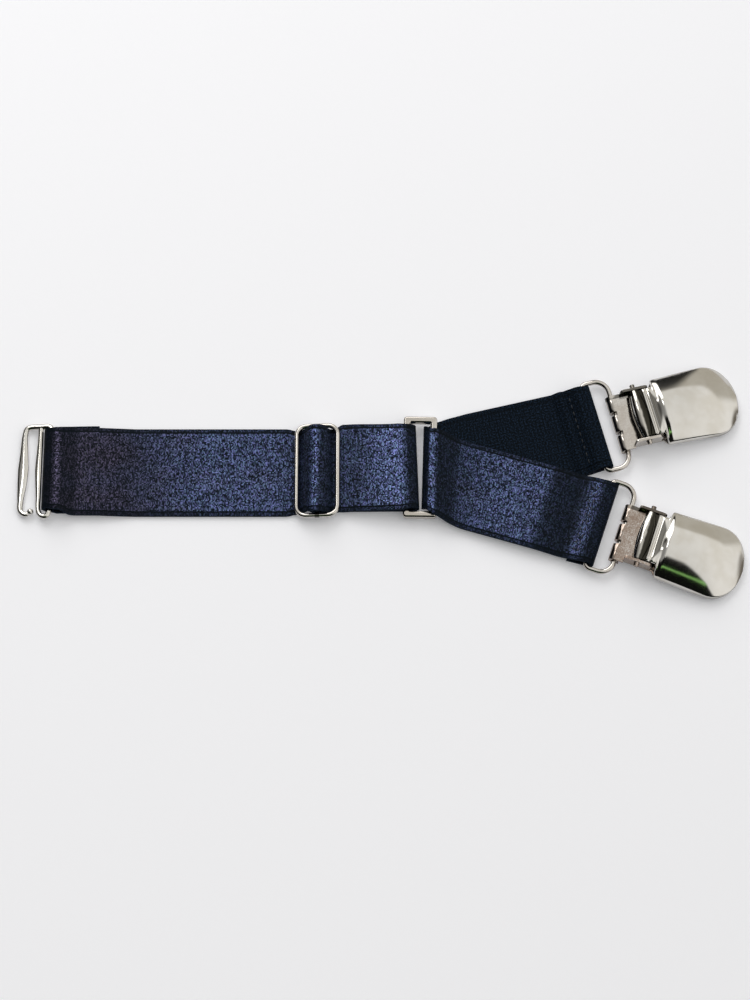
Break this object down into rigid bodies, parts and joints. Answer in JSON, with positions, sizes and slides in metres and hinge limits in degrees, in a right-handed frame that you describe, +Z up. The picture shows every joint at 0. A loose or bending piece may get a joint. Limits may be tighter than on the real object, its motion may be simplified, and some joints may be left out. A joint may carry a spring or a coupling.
{
  "type": "sock suspender",
  "caption": "Sock suspender of woven elastic with a wire hook, a sliding adjuster, a ring and two legs that each end in a lever clip.",
  "frame": {"origin": "under the middle of the whole suspender, on the surface that it lies on", "axes": "+X from the hook end towards the clips, +Z up from the surface"},
  "size_m": [0.197, 0.0666, 0.0077],
  "materials": {
    "navy_elastic": "satin woven navy elastic",
    "nickel": "polished nickel plate"
  },
  "bodies": {
    "straps": {"main_strap": "navy_elastic", "leg_strap": "navy_elastic", "slider": "nickel", "junction_ring": "nickel"},
    "hook": {"wire_hook": "nickel"},
    "upper_loop": {"upper_loop": "nickel"},
    "upper_clip": {"upper_clip_base": "nickel", "upper_hinge_pin": "nickel"},
    "upper_lever": {"upper_clip_lever": "nickel"},
    "lower_loop": {"lower_loop": "nickel"},
    "lower_clip": {"lower_clip_base": "nickel", "lower_hinge_pin": "nickel"},
    "lower_lever": {"lower_clip_lever": "nickel"}
  },
  "joints": [
    {"name": "hook_swing", "type": "hinge", "parent": "straps", "child": "hook", "pos_m": [-0.08945, -0.00115, 0.00205], "axis": [0, -1, 0], "range_deg": [-85, 75]},
    {"name": "upper_loop_swing", "type": "hinge", "parent": "straps", "child": "upper_loop", "pos_m": [0.05858, 0.01539, 0.00202], "axis": [0.2563, -0.9666, 0], "range_deg": [-60, 45]},
    {"name": "upper_clip_swing", "type": "hinge", "parent": "upper_loop", "child": "upper_clip", "pos_m": [0.06561, 0.01653, 0.00172], "axis": [0.2563, -0.9666, 0], "range_deg": [-60, 20]},
    {"name": "upper_lever_turn", "type": "hinge", "parent": "upper_clip", "child": "upper_lever", "pos_m": [0.07128, 0.01804, 0.00545], "axis": [0.2563, -0.9666, 0], "range_deg": [0, 90]},
    {"name": "lower_loop_swing", "type": "hinge", "parent": "straps", "child": "lower_loop", "pos_m": [0.05914, -0.0121, 0.00202], "axis": [-0.3181, -0.948, 0], "range_deg": [-60, 45]},
    {"name": "lower_clip_swing", "type": "hinge", "parent": "lower_loop", "child": "lower_clip", "pos_m": [0.06564, -0.01502, 0.00172], "axis": [-0.3181, -0.948, 0], "range_deg": [-60, 20]},
    {"name": "lower_lever_turn", "type": "hinge", "parent": "lower_clip", "child": "lower_lever", "pos_m": [0.0712, -0.01688, 0.00545], "axis": [-0.3181, -0.948, 0], "range_deg": [0, 90]}
  ]
}
